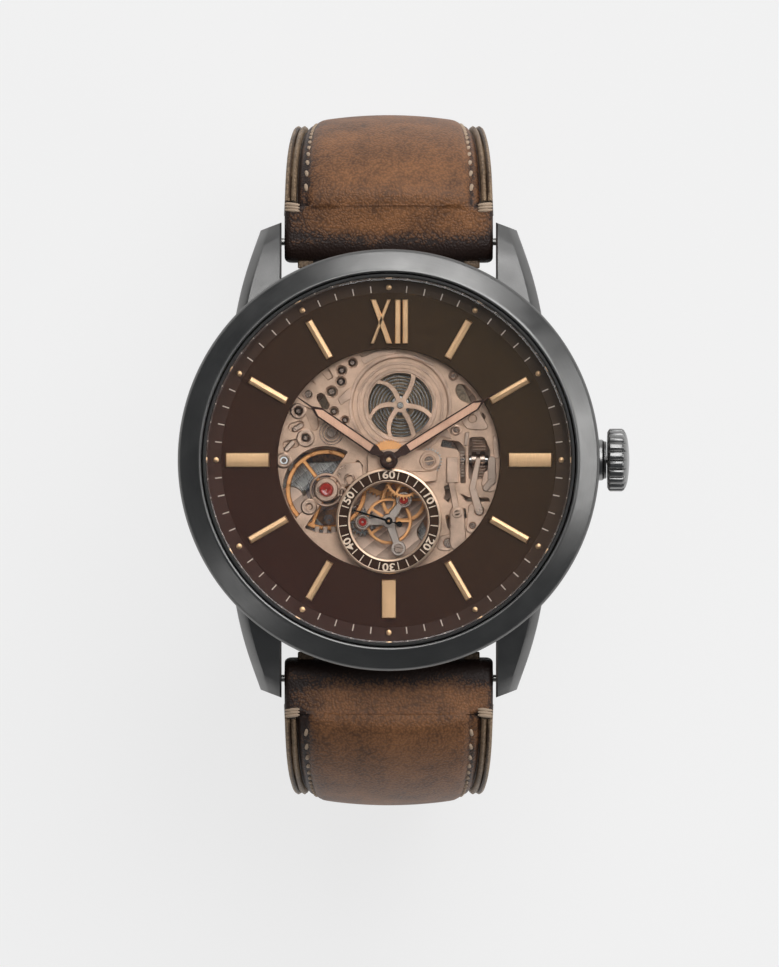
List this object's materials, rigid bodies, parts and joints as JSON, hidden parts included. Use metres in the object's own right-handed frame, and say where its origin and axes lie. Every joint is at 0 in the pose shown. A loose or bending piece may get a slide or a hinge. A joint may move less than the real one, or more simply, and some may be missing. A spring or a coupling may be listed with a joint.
{
  "type": "skeleton wristwatch",
  "caption": "Self-winding skeleton wristwatch with an open-worked movement, small seconds, sloped bezel, fluted crown, glass back and a buckled leather strap.",
  "frame": {"origin": "on the dial axis, in the plane on which the buckled strap stands, in the middle of the fixed keeper's underside", "axes": "+Z out through the crystal, +Y towards twelve o'clock, +X towards the crown"},
  "size_m": [0.0471, 0.071, 0.0536],
  "materials": {
    "gunmetal": "brushed, dark gunmetal plated",
    "crystal_glass": "polished mineral glass",
    "seal_rubber": "matte",
    "holder_plastic": "matte",
    "bright_steel": "fine brushed",
    "rose_plate": "rose plated, frosted",
    "copper_wheels": "polished copper tone",
    "barrel_brass": "circular grained",
    "dial_brown": "satin lacquer",
    "hand_brown": "satin lacquer",
    "strap_leather": "waxed, fine grain",
    "strap_lining": "suede"
  },
  "bodies": {
    "case_and_strap": {"middle_case": "gunmetal", "spring_bar_12": "bright_steel", "spring_bar_6": "bright_steel", "bezel": "gunmetal", "crystal": "crystal_glass", "crystal_gasket": "seal_rubber", "case_back_ring": "gunmetal", "case_back_glass": "crystal_glass", "case_back_gasket": "seal_rubber", "crown_tube": "gunmetal", "strap_12_lining": "strap_lining", "strap_12_cover": "strap_leather", "strap_6_lining": "strap_lining", "strap_6_cover": "strap_leather", "fixed_keeper": "strap_leather", "buckle_bar": "bright_steel", "main_plate": "rose_plate", "barrel_bridge": "bright_steel", "train_bridge": "bright_steel", "balance_cock": "bright_steel", "seconds_cock": "bright_steel", "movement_holder": "holder_plastic", "hairspring": "bright_steel", "motion_cover": "rose_plate", "setting_spring": "rose_plate", "rotor_bearing": "bright_steel", "dial": "dial_brown", "rehaut_ring": "gunmetal", "seconds_ring": "dial_brown", "numeral_12": "copper_wheels"},
    "barrel_drum": {"barrel": "barrel_brass", "mainspring": "bright_steel"},
    "ratchet": {"ratchet_wheel": "bright_steel"},
    "crown_transmission": {"crown_wheel": "bright_steel"},
    "centre_train": {"centre_wheel": "copper_wheels"},
    "third_train": {"third_wheel": "copper_wheels"},
    "fourth_train": {"fourth_wheel": "copper_wheels", "second_hand": "hand_brown"},
    "escape_train": {"escape_wheel": "bright_steel"},
    "pallets": {"pallet_fork": "bright_steel"},
    "balance": {"balance_wheel": "copper_wheels"},
    "minute_works": {"cannon_pinion": "bright_steel", "minute_hand": "hand_brown"},
    "minute_reduction": {"minute_wheel": "barrel_brass"},
    "hour_works": {"hour_wheel": "barrel_brass", "hour_hand": "hand_brown"},
    "setting_gear": {"setting_wheel": "bright_steel"},
    "crown_seal": {"crown_gasket": "seal_rubber"},
    "crown_and_stem": {"crown": "gunmetal", "winding_stem": "bright_steel"},
    "winding_gear": {"winding_pinion": "bright_steel"},
    "clutch": {"sliding_pinion": "bright_steel"},
    "setting_lever_arm": {"setting_lever": "rose_plate"},
    "yoke_arm": {"yoke": "rose_plate"},
    "rotor": {"oscillating_weight": "bright_steel"},
    "buckle": {"buckle_frame": "gunmetal"},
    "tongue": {"buckle_tongue": "gunmetal"},
    "loose_keeper": {"free_keeper": "strap_leather"}
  },
  "joints": [
    {"name": "seconds_turn", "type": "hinge", "parent": "case_and_strap", "child": "fourth_train", "pos_m": [0, -0.00634, 0.047], "axis": [0, 0, 1], "continuous": true},
    {"name": "barrel_turn", "type": "hinge", "parent": "case_and_strap", "child": "barrel_drum", "pos_m": [0.0012, 0.0057, 0.047], "axis": [0, 0, 1], "continuous": true},
    {"name": "centre_turn", "type": "hinge", "parent": "case_and_strap", "child": "centre_train", "pos_m": [0, 0, 0.047], "axis": [0, 0, 1], "continuous": true},
    {"name": "third_turn", "type": "hinge", "parent": "case_and_strap", "child": "third_train", "pos_m": [0.00156, -0.00413, 0.047], "axis": [0, 0, 1], "continuous": true},
    {"name": "escape_turn", "type": "hinge", "parent": "case_and_strap", "child": "escape_train", "pos_m": [-0.00272, -0.00645, 0.047], "axis": [0, 0, 1], "continuous": true},
    {"name": "minute_turn", "type": "hinge", "parent": "case_and_strap", "child": "minute_works", "pos_m": [0, 0, 0.047], "axis": [0, 0, 1], "continuous": true},
    {"name": "minute_wheel_turn", "type": "hinge", "parent": "case_and_strap", "child": "minute_reduction", "pos_m": [0.0016, -0.00205, 0.047], "axis": [0, 0, 1], "continuous": true},
    {"name": "hour_turn", "type": "hinge", "parent": "case_and_strap", "child": "hour_works", "pos_m": [0, 0, 0.047], "axis": [0, 0, 1], "continuous": true},
    {"name": "setting_wheel_turn", "type": "hinge", "parent": "case_and_strap", "child": "setting_gear", "pos_m": [0.0042, -0.0001, 0.047], "axis": [0, 0, 1], "continuous": true},
    {"name": "pallet_swing", "type": "hinge", "parent": "case_and_strap", "child": "pallets", "pos_m": [-0.00418, -0.00516, 0.047], "axis": [0, 0, 1], "range_deg": [-5.5, 5.5]},
    {"name": "balance_swing", "type": "hinge", "parent": "case_and_strap", "child": "balance", "pos_m": [-0.0065, -0.0031, 0.047], "axis": [0, 0, 1], "range_deg": [-270, 270], "stiffness_Nm_per_rad": 0.00000022},
    {"name": "crown_pull", "type": "slide", "parent": "case_and_strap", "child": "crown_seal", "axis": [1, 0, 0], "range_m": [0, 0.0012]},
    {"name": "crown_turn", "type": "hinge", "parent": "crown_seal", "child": "crown_and_stem", "pos_m": [0.0239, 0, 0.0471], "axis": [1, 0, 0], "continuous": true},
    {"name": "winding_pinion_turn", "type": "hinge", "parent": "case_and_strap", "child": "winding_gear", "pos_m": [0.0069, 0, 0.0471], "axis": [1, 0, 0], "continuous": true},
    {"name": "crown_wheel_turn", "type": "hinge", "parent": "case_and_strap", "child": "crown_transmission", "pos_m": [0.00453, 0, 0.047], "axis": [0, 0, 1], "continuous": true},
    {"name": "ratchet_turn", "type": "hinge", "parent": "case_and_strap", "child": "ratchet", "pos_m": [0.0012, 0.0057, 0.047], "axis": [0, 0, 1], "continuous": true},
    {"name": "setting_lever_swing", "type": "hinge", "parent": "case_and_strap", "child": "setting_lever_arm", "pos_m": [0.0107, -0.0022, 0.047], "axis": [0, 0, 1], "range_deg": [-33.1, 0]},
    {"name": "yoke_swing", "type": "hinge", "parent": "case_and_strap", "child": "yoke_arm", "pos_m": [0.0094, -0.0053, 0.047], "axis": [0, 0, 1], "range_deg": [0, 6.5]},
    {"name": "clutch_slide", "type": "slide", "parent": "case_and_strap", "child": "clutch", "axis": [1, 0, 0], "range_m": [-0.0006, 0]},
    {"name": "rotor_turn", "type": "hinge", "parent": "case_and_strap", "child": "rotor", "pos_m": [0, 0, 0.0437], "axis": [0, 0, 1], "continuous": true},
    {"name": "buckle_swing", "type": "hinge", "parent": "case_and_strap", "child": "buckle", "pos_m": [0, -0.006, 0.0047], "axis": [1, 0, 0], "range_deg": [0, 8]},
    {"name": "tongue_swing", "type": "hinge", "parent": "buckle", "child": "tongue", "pos_m": [0, -0.006, 0.0047], "axis": [1, 0, 0], "range_deg": [0, 16]},
    {"name": "keeper_slide", "type": "slide", "parent": "case_and_strap", "child": "loose_keeper", "axis": [0, 1, 0], "range_m": [-0.004, 0.002]}
  ],
  "couplings": [
    {"joint": "barrel_turn", "follows": "seconds_turn", "ratio": -0.0025641},
    {"joint": "centre_turn", "follows": "seconds_turn", "ratio": 0.016667},
    {"joint": "third_turn", "follows": "seconds_turn", "ratio": -0.13333},
    {"joint": "escape_turn", "follows": "seconds_turn", "ratio": -9},
    {"joint": "hour_turn", "follows": "minute_turn", "ratio": 0.083333},
    {"joint": "minute_wheel_turn", "follows": "minute_turn", "ratio": -0.33333},
    {"joint": "setting_wheel_turn", "follows": "minute_turn", "ratio": 0.5},
    {"joint": "winding_pinion_turn", "follows": "crown_turn", "ratio": 1},
    {"joint": "crown_wheel_turn", "follows": "crown_turn", "ratio": 0.4},
    {"joint": "ratchet_turn", "follows": "crown_turn", "ratio": -0.26087},
    {"joint": "setting_lever_swing", "follows": "crown_pull", "rad_per_m": -481},
    {"joint": "yoke_swing", "follows": "crown_pull", "rad_per_m": 94.34},
    {"joint": "clutch_slide", "follows": "crown_pull", "ratio": -0.5}
  ]
}
